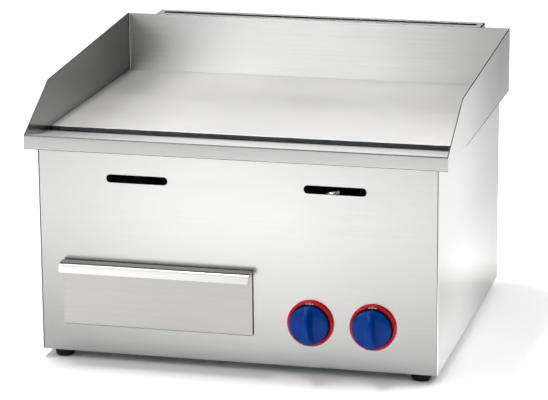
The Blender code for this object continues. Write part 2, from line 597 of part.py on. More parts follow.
# --- gas train ------------------------------------------------------------------------------
def build_valve(side_name, x, inlet_x):
    """Tap, spindle and knob on one axis; heights below are distances ahead of the panel's face."""
    axis = make_empty(f"{side_name}_valve_axis", (x, 0, KNOB_LEVEL), FRAME)

    shell = ((0, -0.0500), (0.0072, -0.0500), (0.0072, -0.0200), (0.0125, -0.0200), (0.0125, -0.0560),
             (0, -0.0560))
    body = turned(f"{side_name}_valve_body", shell, (0, 0, 0), FORWARD, parent=axis)
    inlet_drop = KNOB_LEVEL - PIPE_LEVEL - PIPE_RADIUS - GAP
    join(body, cylinder(f"{side_name}_valve_inlet", (0, PIPE_Y, -(inlet_drop + 0.009) / 2), 0.0070,
                        inlet_drop - 0.009, sides=20, parent=axis))
    join(body, cylinder(f"{side_name}_valve_outlet", (0, PIPE_Y, 0.0155), 0.0065, 0.013, sides=20,
                        parent=axis))
    finish_piece(body, BRASS)

    bonnet = ((0.0125, -0.0150), (0.0125, -0.0197), (0.0034, -0.0197), (0.0034, -0.0150))
    finish_piece(turned(f"{side_name}_valve_bonnet", bonnet, (0, 0, 0), FORWARD, parent=axis, closed=True),
                 BRASS)

    plug = ((0, -0.0465), (0.0033, -0.0465), (0.0033, -0.0350), (0.0070, -0.0350), (0.0070, -0.0497),
            (0, -0.0497))
    finish_piece(turned(f"{side_name}_valve_plug", plug, (0, 0, 0), FORWARD, parent=axis), BRASS)

    turns, points = 2.5, 8
    coil = [(0.0048 * math.cos(2 * math.pi * i / points), 0.0315 + 0.0027 * i / (turns * points),
             0.0048 * math.sin(2 * math.pi * i / points)) for i in range(int(turns * points) + 1)]
    spring = tube(f"{side_name}_valve_spring", coil, 0.0004, 1, corner=0, parent=axis)
    finish_piece(spring, ZINC)

    shaft = ((0, 0.0280), (0.0030, 0.0280), (0.0030, -0.0255), (0.0058, -0.0255), (0.0058, -0.0275),
             (0.0030, -0.0275), (0.0030, -0.0430), (0, -0.0430))
    finish_piece(turned(f"{side_name}_spindle", shaft, (0, 0, 0), FORWARD, parent=axis), ZINC)

    bezel = ((0.0080, 0.0050), (0.0300, 0.0055), (0.0318, 0.0053), (0.0330, 0.0042), (BEZEL_RADIUS, 0.0028),
             (BEZEL_RADIUS, GAP), (0.0080, GAP))
    finish_piece(turned(f"{side_name}_bezel", bezel, (0, 0, 0), FORWARD, 32, axis, True), RED)

    dome = ((0, 0.0275), (0.0120, 0.0268), (0.0200, 0.0248), (0.0250, 0.0215), (0.0275, 0.0178),
            (KNOB_RADIUS, 0.0140), (KNOB_RADIUS, 0.0108), (0.0272, 0.0100), (0, 0.0100))
    knob = turned(f"{side_name}_knob", dome, (0, 0, 0), FORWARD, 32, axis)
    grip = box(f"{side_name}_grip", (-0.0065, -KNOB_FRONT, -0.0255), (0.0065, -0.0130, 0.0255), axis)
    add_bevel(grip, 0.0045, 3)
    join(knob, grip)
    cut(knob, cylinder(f"{side_name}_knob_bore", (0, -0.0190, 0), 0.0033, 0.0190, BACK, 16, axis))
    finish_piece(knob, BLUE)

    reach = KNOB_LEVEL + 0.0223
    crossing = 0.195 if side_name == "left" else 0.212
    path = [(x, PIPE_Y, reach), (x, PIPE_Y, crossing)]
    path += [(inlet_x, PIPE_Y, crossing)] if side_name == "left" else []
    path += [(inlet_x, 0.0270, crossing + 0.028), (inlet_x, 0.0270, BURNER_LEVEL - 0.0088)]
    finish_piece(tube(f"{side_name}_feed_tube", path, FEED_RADIUS, 3, corner=0.014), ALUMINIUM)


def build_gas_supply():
    path = [(PIPE_X, CABINET_DEPTH - 0.0025, PIPE_LEVEL), (PIPE_X, PIPE_Y, PIPE_LEVEL),
            (0.085, PIPE_Y, PIPE_LEVEL)]
    finish_piece(tube("manifold_pipe", path, PIPE_RADIUS, 5, corner=0.03, steps=6), GALVANISED)
    end = INLET_END - CABINET_DEPTH
    nipple = ((0, end), (0.0100, end), (0.0104, end - 0.001), (0.0104, -0.0022), (0, -0.0022))
    inlet = turned("gas_inlet_nipple", nipple, (PIPE_X, CABINET_DEPTH, PIPE_LEVEL), BACK, 24)
    join(inlet, cylinder("inlet_hexagon", (PIPE_X, CABINET_DEPTH + 0.0043, PIPE_LEVEL), 0.0150, 0.007,
                         BACK, 6))
    cut(inlet, cylinder("inlet_bore", (PIPE_X, CABINET_DEPTH + 0.020, PIPE_LEVEL), 0.0078, 0.030, BACK, 24))
    finish_piece(inlet, BRASS)


build_front_panel()
build_side_panel("left", -1)
build_side_panel("right", 1)
build_rear_panel()
build_base_pan()
build_feet()
build_rear_screws()
build_front_trough()
build_cooking_top()
build_flue()
build_drawer()
for burner_side, burner_sign in (("left", -1), ("right", 1)):
    build_valve(burner_side, KNOB_PLACES[burner_side], build_burner(burner_side, burner_sign))
build_burner_supports()
build_gas_supply()
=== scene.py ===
"""Looks of the countertop gas griddle: finished sheet metal, plate, knobs, hardware, floor, light and camera.

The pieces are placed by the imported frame. Lengths are in metres, +X is right, +Y runs back and +Z is up.
"""
import json
import math

import bmesh
import bpy
from mathutils import Matrix, Vector


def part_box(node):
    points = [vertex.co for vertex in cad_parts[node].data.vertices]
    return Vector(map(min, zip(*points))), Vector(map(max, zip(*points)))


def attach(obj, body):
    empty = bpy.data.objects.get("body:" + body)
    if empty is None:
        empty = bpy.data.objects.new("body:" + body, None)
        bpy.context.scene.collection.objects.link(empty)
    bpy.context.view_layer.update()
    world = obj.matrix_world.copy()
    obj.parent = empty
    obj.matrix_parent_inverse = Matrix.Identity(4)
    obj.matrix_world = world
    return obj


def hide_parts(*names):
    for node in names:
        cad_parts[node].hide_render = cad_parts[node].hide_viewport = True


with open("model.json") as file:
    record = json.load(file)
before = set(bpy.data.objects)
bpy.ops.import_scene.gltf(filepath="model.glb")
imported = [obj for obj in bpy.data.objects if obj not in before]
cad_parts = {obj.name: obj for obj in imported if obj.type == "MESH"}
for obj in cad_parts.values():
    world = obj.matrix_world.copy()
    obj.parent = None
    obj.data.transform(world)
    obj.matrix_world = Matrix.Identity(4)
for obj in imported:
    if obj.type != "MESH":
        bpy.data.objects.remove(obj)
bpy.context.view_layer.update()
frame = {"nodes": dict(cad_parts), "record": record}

NODES = frame["nodes"]
BODY_OF = {node: body for body, members in frame["record"]["behaviour"]["bodies"].items() for node in members}
SLOT_OF = {part["node"]: part["material_slot"] for part in frame["record"]["subparts"]}
SIDES = {"left": -1, "right": 1}                    # the sign of X on each side

FORWARD = Matrix.Rotation(math.pi / 2, 4, "X")      # turns a +Z axis to -Y
BACKWARD = Matrix.Rotation(-math.pi / 2, 4, "X")    # turns a +Z axis to +Y

STEEL_LOW, STEEL_HIGH = 0.60, 0.67      # reflectance of the sheet steel's darkest and lightest grain
EDGE_WIDTH = 0.0017                     # a sheet's four-sided faces narrower than this are its sheared edges
SEAM = 0.0003                           # gap that the CAD leaves between touching parts
SAME_POINT = 0.000001                   # points closer than this are one point


# --- node graphs ----------------------------------------------------------------------------
class Graph:
    """A node tree, with one short call for each kind of node that both materials and the world use."""

    def __init__(self, tree):
        self.tree = tree

    def node(self, kind, inputs=None, **settings):
        made = self.tree.nodes.new(kind)
        for setting, value in settings.items():
            setattr(made, setting, value)
        for socket, value in (inputs or {}).items():
            if isinstance(value, bpy.types.NodeSocket):
                self.tree.links.new(value, made.inputs[socket])
            else:
                made.inputs[socket].default_value = value
        return made

    def spread(self, value, low, high, start=0.3, end=0.7, **settings):
        """Map a value between start and end to low and high."""
        inputs = {"Value": value, "From Min": start, "From Max": end, "To Min": low, "To Max": high}
        return self.node("ShaderNodeMapRange", inputs, **settings).outputs["Result"]

    def maths(self, operation, first, second):
        return self.node("ShaderNodeMath", {0: first, 1: second}, operation=operation).outputs[0]

    def blend(self, first, second, share):
        """Mix two values, the first one counting for its share of the whole."""
        rest = self.maths("MULTIPLY", second, 1 - share)
        return self.maths("ADD", self.maths("MULTIPLY", first, share), rest)


class Surface(Graph):
    """The node graph of one material, laid out by places on the object in metres."""

    def __init__(self, name, metallic=0.0, **sockets):
        self.material = bpy.data.materials.new(name)
        self.material.use_nodes = True
        super().__init__(self.material.node_tree)
        self.shader = self.tree.nodes["Principled BSDF"]
        self.shader.inputs["Metallic"].default_value = metallic
        for socket, value in sockets.items():
            self.shader.inputs[socket.replace("_", " ")].default_value = value
        self.place = self.node("ShaderNodeTexCoord").outputs["Object"]

    def distance(self, axis):
        """How far along one axis the place is."""
        return self.node("ShaderNodeSeparateXYZ", {"Vector": self.place}).outputs[axis]

    def stretched(self, scale):
        return self.node("ShaderNodeMapping", {"Vector": self.place, "Scale": scale}).outputs["Vector"]

    def noise(self, scale, detail=3.0, roughness=0.5):
        """Noise whose scale is given for each axis, in features a metre."""
        inputs = {"Vector": self.stretched(scale), "Scale": 1.0, "Detail": detail, "Roughness": roughness}
        return self.node("ShaderNodeTexNoise", inputs).outputs["Fac"]

    def cells(self, scale):
        inputs = {"Vector": self.stretched(scale), "Scale": 1.0}
        return self.node("ShaderNodeTexVoronoi", inputs).outputs["Color"]

    def tones(self, value, dark, light):
        """Mix from the dark colour to the light one."""
        inputs = {0: value, 6: (*dark, 1), 7: (*light, 1)}
        return self.node("ShaderNodeMix", inputs, data_type="RGBA").outputs[2]

    def finish(self, colour, roughness, height=None, depth=0.0):
        """Wire up the shader, with a bump of that depth where a height is given; returns the material."""
        links = self.tree.links
        links.new(colour, self.shader.inputs["Base Color"])
        links.new(roughness, self.shader.inputs["Roughness"])
        if height is not None:
            bump = self.node("ShaderNodeBump", {"Height": height, "Distance": depth, "Strength": 1.0})
            links.new(bump.outputs["Normal"], self.shader.inputs["Normal"])
        return self.material


# --- materials ------------------------------------------------------------------------------
def brushed_steel(name, along, tone=1.0, tint=(1.0, 1.0, 0.99), rough=(0.17, 0.25), fades=(), depth=0.000002,
                  glance=1.0):
    """Sheet steel with fine grain along one axis, soft clouding and a few longer scratches.

    Each fade is (axis, from, to, factor at from, factor at to): a broad change of tone across the sheet,
    painted light and shade that stands in for the reflections and shadows falling on it.
    glance is how much of the light it still mirrors at a flat angle.
    """
    surface = Surface(name, metallic=1.0, Specular_Tint=(glance, glance, glance, 1.0))
    grain = [900.0, 900.0, 900.0]
    grain["XYZ".index(along)] = 9.0
    scratch = [260.0, 260.0, 260.0]
    scratch["XYZ".index(along)] = 2.5
    fine = surface.noise(grain, 2.0, 0.6)
    long_lines = surface.noise(scratch, 4.0, 0.7)
    clouds = surface.noise((7.0, 7.0, 7.0), 2.0)
    lines = surface.blend(fine, long_lines, 0.6)
    mixed = surface.blend(lines, clouds, 0.7)
    # tone scales the whole sheet; several copies below use it for painted light and painted shade
    value = surface.spread(mixed, STEEL_LOW * tone, STEEL_HIGH * tone, 0.35, 0.65)
    # painted light and shade: each fade lightens or darkens the sheet along one axis
    for axis, start, end, first, last in fades:
        place = surface.distance(axis)
        fade = surface.spread(place, first, last, start, end, interpolation_type="SMOOTHSTEP")
        value = surface.maths("MULTIPLY", value, fade)
    channels = {
        channel: surface.maths("MULTIPLY", value, factor)
        for channel, factor in zip(("Red", "Green", "Blue"), tint)
    }
    colour = surface.node("ShaderNodeCombineColor", channels).outputs["Color"]
    return surface.finish(colour, surface.spread(mixed, *rough), lines, depth)


def ground_steel(name):
    """The cooking face: ground steel, its fine grain running across, with a soft mottle from heat."""
    surface = Surface(name, metallic=1.0, Specular_Tint=(0.8, 0.8, 0.8, 1.0))
    grain = surface.noise((10.0, 800.0, 800.0), 2.0, 0.55)
    mottle = surface.noise((6.0, 6.0, 6.0), 2.0, 0.5)
    mixed = surface.blend(grain, mottle, 0.5)
    value = surface.spread(mixed, 0.57, 0.64)
    # painted reflection: the plate darker towards the back and lighter towards the right
    painted_shade_to_back = surface.spread(surface.distance("Y"), 1.00, 0.86, -0.10, 0.22)
    to_the_right = surface.spread(surface.distance("X"), 1.0, 1.15, -0.05, 0.25)
    value = surface.maths("MULTIPLY", surface.maths("MULTIPLY", value, painted_shade_to_back), to_the_right)
    colour = surface.tones(value, (0.0, 0.0, 0.0), (1.0, 0.992, 0.98))
    return surface.finish(colour, surface.spread(mixed, 0.42, 0.50), grain, 0.000003)


def dark_plate_sides(name):
    """Near-black finish on the plate's sides."""
    surface = Surface(name, metallic=0.6)
    patches = surface.noise((60.0, 60.0, 120.0), 5.0, 0.65)
    colour = surface.tones(surface.spread(patches, 0.0, 1.0), (0.012, 0.014, 0.015), (0.050, 0.056, 0.060))
    return surface.finish(colour, surface.spread(patches, 0.42, 0.65), patches, 0.00005)


def galvanised(name):
    """Zinc-coated sheet with its spangle."""
    surface = Surface(name, metallic=0.9)
    cells = surface.cells((120.0, 120.0, 120.0))
    spangle = surface.node("ShaderNodeSeparateColor", {"Color": cells}).outputs[0]
    clouds = surface.noise((15.0, 15.0, 15.0), 3.0)
    mixed = surface.blend(spangle, clouds, 0.5)
    colour = surface.tones(surface.spread(mixed, 0.0, 1.0, 0.2, 0.8), (0.36, 0.38, 0.39), (0.56, 0.58, 0.59))
    return surface.finish(colour, surface.spread(mixed, 0.38, 0.55), spangle, 0.00001)


def machined(name, dark, light, rough=(0.22, 0.36)):
    """Turned metal with fine tool marks and a little tarnish."""
    surface = Surface(name, metallic=1.0)
    marks = surface.noise((300.0, 1400.0, 300.0), 2.0, 0.6)
    tarnish = surface.noise((70.0, 70.0, 70.0), 4.0, 0.6)
    mixed = surface.blend(marks, tarnish, 0.4)
    colour = surface.tones(surface.spread(mixed, 0.0, 1.0), dark, light)
    return surface.finish(colour, surface.spread(mixed, *rough), marks, 0.00001)


def heat_tinted(name):
    """Burner tube: steel blued and browned by flame."""
    surface = Surface(name, metallic=1.0)
    bands = surface.noise((30.0, 9.0, 30.0), 4.0, 0.6)
    soot_and_shade = surface.noise((120.0, 120.0, 120.0), 4.0, 0.6)
    mixed = surface.blend(bands, soot_and_shade, 0.7)
    colour = surface.tones(surface.spread(mixed, 0.0, 1.0), (0.09, 0.07, 0.08), (0.34, 0.27, 0.22))
    return surface.finish(colour, surface.spread(mixed, 0.38, 0.60), soot_and_shade, 0.00003)


def moulded(name, dark, light, rough, specular=0.5, texture=2600.0, depth=0.000006):
    """Moulded plastic or rubber, or paint, or the near-black painted shade inside the flue: a fine skin
    texture and slightly uneven colour.
    """
    surface = Surface(name, Specular_IOR_Level=specular, IOR=1.48)
    skin = surface.noise((texture, texture, texture), 2.0, 0.5)
    clouds = surface.noise((45.0, 45.0, 45.0), 3.0)
    colour = surface.tones(surface.spread(clouds, 0.0, 1.0), dark, light)
    return surface.finish(colour, surface.spread(clouds, *rough), skin, depth)


MATERIALS = {
    "stainless_x": brushed_steel("stainless_grain_across", "X"),
    "stainless_y": brushed_steel("stainless_grain_back", "Y"),
    "stainless_z": brushed_steel("stainless_grain_up", "Z"),
    # painted shade: the front panel darker towards the bottom and towards both sides
    "front": brushed_steel("front_panel_steel", "X", 0.95, fades=(
        ("Z", 0.02, 0.26, 0.61, 1.0), ("X", -0.32, -0.02, 0.76, 1.0), ("X", 0.05, 0.32, 1.0, 0.84))),
    # painted shade on the trough's upright lip, a darker copy of the steel and lighter to the right; painted
    # light on the apron, a lighter copy
    "lip": brushed_steel("front_lip_steel", "X", 0.685, fades=(("X", -0.25, 0.28, 0.93, 1.07),)),
    "apron": brushed_steel("apron_steel", "X", 1.10, rough=(0.36, 0.40), depth=0.0000003, glance=0.8),
    # painted reflection and shade: the left guard dark and darker to the back, the rear guard lighter at its
    # left end and darker to the right, the right side darker to the back and lighter at the bottom, the right
    # guard darker to the back
    "left_guard": brushed_steel("left_guard_steel", "Y", fades=(("Y", -0.22, 0.25, 0.44, 0.14),)),
    "rear_guard": brushed_steel("rear_guard_steel", "X", rough=(0.32, 0.38), fades=(
        ("X", -0.30, -0.20, 1.28, 1.70), ("X", -0.20, -0.06, 1.0, 0.90), ("X", 0.05, 0.30, 1.0, 0.70))),
    "right_side": brushed_steel("right_side_steel", "Z", glance=0.85, fades=(
        ("Y", -0.15, 0.25, 1.0, 0.38), ("Z", 0.02, 0.20, 1.66, 0.72))),
    "right_guard": brushed_steel("right_guard_steel", "Y", glance=0.76, fades=(
        ("Y", -0.24, 0.20, 0.84, 0.16),)),
    # painted shade: the left side and the rear are darker copies of the steel, darker towards the top
    "left_side": brushed_steel("left_side_steel", "Y", 0.74, fades=(("Z", 0.02, 0.30, 1.0, 0.80),)),
    "rear": brushed_steel("rear_steel", "X", 0.74, fades=(("Z", 0.02, 0.30, 1.0, 0.80),)),
    # painted shade: the flue cap is a much darker copy of the steel
    "flue": brushed_steel("flue_cap_steel", "X", 0.29, glance=0.7),
    "drawer": brushed_steel("drawer_steel", "X", 0.60, (1.0, 0.955, 0.95), (0.27, 0.30)),
    # painted shade on the drawer's hand ledge, a darker copy of its steel; painted highlight on its lip, a
    # lighter copy, lighter to the right
    "drawer_ledge": brushed_steel("drawer_ledge_steel", "X", 0.27, (1.0, 0.92, 0.90), depth=0.0000003),
    "drawer_lip": brushed_steel("drawer_lip_steel", "X", 1.06, rough=(0.30, 0.34), depth=0.0000003, fades=(
        ("X", -0.26, 0.02, 0.90, 1.08),)),
    # near-black: the sheets' sheared edges, and painted shade on bends and returns that turn from the light
    "cut_edge_and_shade": brushed_steel("sheared_edge_and_shade", "X", 0.045, rough=(0.40, 0.50), glance=0.3),
    # painted shade: near-black for the flue's inner faces, where light doesn't reach
    "soot_and_shade": moulded("flue_inside_shade", (0.010, 0.010, 0.010), (0.030, 0.029, 0.028), (0.70, 0.90),
                    specular=0.0, texture=400.0, depth=0.00005),
    "plate": ground_steel("ground_plate"),
    "scale": dark_plate_sides("plate_dark_sides"),
    "galvanised": galvanised("galvanised_sheet"),
    "brass": machined("machined_brass", (0.62, 0.44, 0.18), (0.84, 0.66, 0.34)),
    "aluminium": machined("cast_aluminium", (0.62, 0.63, 0.64), (0.80, 0.81, 0.82), (0.34, 0.50)),
    "zinc": machined("zinc_plate", (0.58, 0.59, 0.62), (0.74, 0.75, 0.78)),
    "burner": heat_tinted("heat_tinted_steel"),
    "red": moulded("red_bezel_plastic", (0.60, 0.004, 0.006), (0.72, 0.008, 0.010), (0.24, 0.32), 0.12),
    "blue": moulded("blue_knob_plastic", (0.0, 0.030, 0.200), (0.0, 0.044, 0.270), (0.14, 0.20), 0.10),
    "white": moulded("white_mark_paint", (0.78, 0.78, 0.76), (0.86, 0.86, 0.84), (0.40, 0.50), 0.3),
    "rubber": moulded("black_rubber", (0.010, 0.010, 0.011), (0.022, 0.022, 0.023), (0.65, 0.85),
                      specular=0.1, texture=900.0, depth=0.00004),
}
# the finish of the CAD's own faces, by material slot
PLAIN_FINISH = {
    "stainless": "stainless_x", "drawer_steel": "drawer", "plate_steel": "plate", "dark_steel": "burner",
    "galvanised": "galvanised", "brass": "brass", "aluminium": "aluminium", "zinc": "zinc",
    "red_plastic": "red", "blue_plastic": "blue", "rubber": "rubber",
}
for node_name, cad_object in NODES.items():
    cad_object.data.materials.clear()
    cad_object.data.materials.append(MATERIALS[PLAIN_FINISH[SLOT_OF[node_name]]])


# --- piece helpers --------------------------------------------------------------------------
def add_piece(name, bm, finishes, node=None, body=None, sharp=35.0):
    """Make an object from bm. It replaces a CAD node, or only rides on a body."""
    mesh = bpy.data.meshes.new(name)
    bm.to_mesh(mesh)
    bm.free()
    for finish in finishes if isinstance(finishes, tuple) else (finishes,):
        mesh.materials.append(MATERIALS[finish])
    mesh.shade_smooth()
    mesh.set_sharp_from_angle(angle=math.radians(sharp))
    piece = bpy.data.objects.new(name, mesh)
    bpy.context.scene.collection.objects.link(piece)
    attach(piece, body or BODY_OF[node])
    if node:
        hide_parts(node)
    return piece


def soften(piece, width):
    """Round the sharp edges and keep the faces between them flat."""
    bevel = piece.modifiers.new("soft_edges", "BEVEL")
    bevel.width = width
    bevel.segments = 2
    bevel.limit_method = "ANGLE"
    bevel.angle_limit = math.radians(32.0)
    normals = piece.modifiers.new("flat_face_normals", "WEIGHTED_NORMAL")
    normals.keep_sharp = True


def thicken(piece, thickness):
    """Give an open surface the thickness of its sheet, half to each side."""
    wall = piece.modifiers.new("sheet", "SOLIDIFY")
    wall.thickness = thickness
    wall.offset = 0


def finished_sheet(node, finish, width=0.0003, edge=None, choose=None):
    """A CAD sheet again, its triangles merged to whole faces and its cut edges rounded.

    choose(face) may name another finish for a face, and the sheared edges take the edge finish.
    """
    bm = bmesh.new()
    bm.from_mesh(NODES[node].data)
    bmesh.ops.remove_doubles(bm, verts=bm.verts, dist=2 * SAME_POINT)
    bmesh.ops.dissolve_limit(bm, angle_limit=math.radians(0.3), verts=bm.verts, edges=bm.edges)
    bm.normal_update()
    finishes = [finish]
    for face in bm.faces:
        wanted = choose(face) if choose else None
        if edge and len(face.verts) == 4 and min(e.calc_length() for e in face.edges) < EDGE_WIDTH:
            wanted = edge
        if wanted and wanted not in finishes:
            finishes.append(wanted)
        face.material_index = finishes.index(wanted) if wanted else 0
    soften(add_piece(f"{node}_sheet", bm, tuple(finishes), node), width)


def centre_of(node):
    low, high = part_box(node)
    return (low + high) / 2


def join_rings(bm, rings):
    """Skin each ring of points to the next one; a ring that is one point many times makes triangles."""
    faces = []
    for upper, lower in zip(rings, rings[1:]):
        for i, j in zip(range(len(upper)), [*range(1, len(upper)), 0]):
            corners = list(dict.fromkeys((upper[i], lower[i], lower[j], upper[j])))
            if len(corners) > 2:
                faces.append(bm.faces.new(corners))
    return faces


def circle(steps):
    """Points round a circle of radius 1."""
    angles = [2 * math.pi * i / steps for i in range(steps)]
    return [(math.cos(angle), math.sin(angle)) for angle in angles]


def revolve(bm, profile, place, steps):
    """Turn (radius, height) points about the +Z of the placing matrix; returns the new faces."""
    rings = []
    for r, level in profile:
        if r == 0:
            rings.append([bm.verts.new(place @ Vector((0, 0, level)))] * steps)
        else:
            rings.append([bm.verts.new(place @ Vector((r * x, r * y, level))) for x, y in circle(steps)])
    return join_rings(bm, rings)


def domed_disc(bm, place, radius, height, rings, steps, under):
    """A disc whose top follows height(x, y), closed below by turned (radius, height) rings."""
    turns = circle(steps)
    rows = [[bm.verts.new(place @ Vector((0, 0, height(0, 0))))] * steps]
    for ring in range(1, rings + 1):
        r = radius * math.sin(math.pi / 2 * ring / rings)
        points = [(r * x, r * y) for x, y in turns]
        rows.append([bm.verts.new(place @ Vector((x, y, height(x, y)))) for x, y in points])
    for r, level in under:
        rows.append([bm.verts.new(place @ Vector((r * x, r * y, level))) for x, y in turns])
    join_rings(bm, rows)
    bm.faces.new(rows[-1][::-1])
    bmesh.ops.recalc_face_normals(bm, faces=bm.faces)


def rounded_profile(points, radius, steps=3):
    """Round each inner corner of a 2D path; the ends stay."""
    points = [Vector(p) for p in points]
    path = [points[0]]
    for before, corner, after in zip(points, points[1:], points[2:]):
        reach = min(radius, (before - corner).length * 0.45, (after - corner).length * 0.45)
        start = corner + (before - corner).normalized() * reach
        end = corner + (after - corner).normalized() * reach
        for step in range(steps + 1):
            t = step / steps
            path.append(start * (1 - t) ** 2 + corner * 2 * t * (1 - t) + end * t ** 2)
    path.append(points[-1])
    return [tuple(p) for p in path]


# --- sheet metal ----------------------------------------------------------------------------
def shaded_inside(node, flange):
    """Chooser for a flue sheet: near-black painted shade where a face turns to its middle, but for the
    flanges at its two ends.

    A bend that looks up and back takes the near-black edge finish, a painted shadow line.
    """
    low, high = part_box(node)
    middle = (low + high) / 2

    def choose(face):
        inward = middle - face.calc_center_median()
        turned_in = sum(inward[i] * face.normal[i] * abs(face.normal[i]) for i in range(3))
        # painted shade inside the flue, and a painted shadow line on bends that look up and back
        if turned_in > 0.0005 and abs(inward.x) < (high.x - low.x) / 2 - flange:
            return "soot_and_shade"
        return "cut_edge_and_shade" if face.normal.z > 0.2 and face.normal.y > 0.2 else None
    return choose


def trough_finish(face):
    """Chooser for the front trough: its upright lip, in a darker copy of the steel as painted shade, and the
    bends above and below that lip, near-black as painted shadow lines.
    """
    if face.normal.y < -0.8:
        return "lip"
    return "cut_edge_and_shade" if face.normal.y < -0.2 and abs(face.normal.z) > 0.2 else None


def make_sheets():
    own_finish = {
        "front_panel": "front", "left_side_panel": "left_side", "right_side_panel": "right_side",
        "rear_panel": "rear", "grease_tray": "stainless_y",
    }
    for node, finish in own_finish.items():
        finished_sheet(node, finish)
    for node in ("base_pan", "heat_shield", "left_plate_rail", "right_plate_rail", "left_drawer_runner",
                 "right_drawer_runner", "front_burner_bracket", "rear_burner_bracket"):
        finished_sheet(node, "galvanised")
    for place in ("left", "rear", "right"):
        finished_sheet(f"{place}_splash_guard", f"{place}_guard", 0.0002, "cut_edge_and_shade")
    finished_sheet("front_trough", "apron", choose=trough_finish)
    finished_sheet("flue_duct", "rear", choose=shaded_inside("flue_duct", 0.0135))
    finished_sheet("flue_cap", "flue", 0.0002, "cut_edge_and_shade", shaded_inside("flue_cap", 0.0))


def make_plate():
    """The plate with a ground face and near-black sides."""
    low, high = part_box("griddle_plate")
    bm = bmesh.new()
    bmesh.ops.create_cube(bm, size=1)
    bmesh.ops.scale(bm, vec=high - low, verts=bm.verts)
    bmesh.ops.translate(bm, vec=(low + high) / 2, verts=bm.verts)
    bm.normal_update()
    for face in bm.faces:
        face.material_index = 0 if face.normal.z > 0.5 else 1
    soften(add_piece("griddle_plate_ground", bm, ("plate", "scale"), "griddle_plate"), 0.0004)


def make_drawer_front():
    """Folded drawer front: face, side returns, hand ledge and a lip whose lower corners are rounded."""
    low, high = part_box("drawer_front")
    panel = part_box("front_panel")[0].y
    sheet, fold, corner = 0.0012, 0.0018, 0.0045
    middle, half = (low.x + high.x) / 2, (high.x - low.x) / 2
    face, bottom, top = panel - 0.0039, low.z + sheet / 2, high.z - sheet / 2
    ledge_end, lip_start = (panel - 0.0185, 0.1490), (panel - 0.0222, 0.1474)
    lip_end, tip = (panel - 0.0260, 0.13966), Vector((panel - 0.0273, 0.1370))
    outline = [(panel - 0.0009, bottom), (face, bottom), (face, top), ledge_end, lip_start, lip_end]
    path = rounded_profile(outline, fold, 4)
    last = Vector(path[-1])
    path += [tuple(last.lerp(tip, step / 8)) for step in range(1, 9)]
    bm = bmesh.new()
    rows = []
    for y, z in path:
        to_tip = (Vector((y, z)) - tip).length
        inset = corner - math.sqrt(corner ** 2 - (corner - to_tip) ** 2) if to_tip < corner else 0.0
        reach = half - inset * 0.8
        rows.append([bm.verts.new((middle + side * reach, y, z)) for side in (-1, 1)])
    finishes = ("drawer", "drawer_ledge", "drawer_lip", "cut_edge_and_shade")
    for first, second in zip(rows, rows[1:]):
        strip = bm.faces.new((first[0], first[1], second[1], second[0]))
        centre = strip.calc_center_median()
        # painted light and shade: the lip takes the lighter copy of the drawer steel and the ledge the darker
        # one
        if centre.y < panel - 0.0205:
            strip.material_index = finishes.index("drawer_lip")
        elif centre.z > high.z - 0.0035 and centre.y < panel - 0.0060:
            strip.material_index = finishes.index("drawer_ledge")
    return_front, return_back = panel - 0.0036, panel - 0.0012
    return_low, return_high = low.z + 0.001, 0.1470
    for side in (-1, 1):
        x = middle + side * (half - sheet / 2)
        corners = [(x, return_front, return_low), (x, return_back, return_low),
                   (x, return_back, return_high), (x, return_front, return_high)]
        side_return = bm.faces.new([bm.verts.new(point) for point in corners])
        # painted shade: the side returns take the near-black edge finish
        side_return.material_index = finishes.index("cut_edge_and_shade")
    bmesh.ops.recalc_face_normals(bm, faces=bm.faces)
    piece = add_piece("drawer_front_folded", bm, finishes, "drawer_front")
    thicken(piece, sheet)
    soften(piece, 0.0003)


def weld_bead(name, start, end, ripples):
    """Rippled bead of weld from one point to another."""
    radius, ripple = 0.0012, 0.00016
    run = Vector(end) - Vector(start)
    place = Matrix.Translation(start) @ run.to_track_quat("Z", "Y").to_matrix().to_4x4()
    steps = [run.length * i / ripples for i in range(ripples + 1)]
    profile = [(0, 0.0)] + [(radius + ripple * math.sin(i * 2.1), step) for i, step in enumerate(steps)]
    bm = bmesh.new()
    revolve(bm, profile + [(0, run.length)], place, 12)
    bmesh.ops.recalc_face_normals(bm, faces=bm.faces)
    add_piece(name, bm, "stainless_z", body="chassis", sharp=60.0)


def make_weld_beads():
    """Welds down each rear corner of the guards, and at each side guard's foot where the gutter ends."""
    plate_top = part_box("griddle_plate")[1].z
    low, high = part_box("rear_splash_guard")
    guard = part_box("left_splash_guard")[0].x
    gutter_front, gutter_back = (-0.1585, 0.3143), (-0.1385, 0.3136)
    for side, sign in SIDES.items():
        outside = low.x if sign < 0 else high.x
        corner = (outside - sign * SEAM, low.y + SEAM)
        weld_bead(f"{side}_corner_weld", (*corner, plate_top + 0.0010), (*corner, high.z - 0.0006), 150)
        foot = -sign * guard - sign * 0.0013
        weld_bead(f"{side}_gutter_weld", (foot, *gutter_front), (foot, *gutter_back), 20)


def make_lighting_tab():
    """Bright bent tab behind the right-hand lighting slot: an upright leaf and one that leans back."""
    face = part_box("front_panel")[0].y
    leaning = ((0.1320, 0.0100, 0.2694), (0.1480, 0.0100, 0.2726))
    bend = ((0.1490, 0.0036, 0.2712), (0.1290, 0.0038, 0.2676))
    upright = ((0.1490, 0.0044, 0.2640), (0.1290, 0.0044, 0.2640))
    bm = bmesh.new()
    points = (*leaning, bend[0], *upright, bend[1])
    corners = [bm.verts.new((x, face + y, z)) for x, y, z in points]
    bm.faces.new((corners[0], corners[1], corners[2], corners[5]))
    bm.faces.new((corners[5], corners[2], corners[3], corners[4]))
    thicken(add_piece("lighting_tab", bm, "stainless_x", body="chassis"), 0.0006)


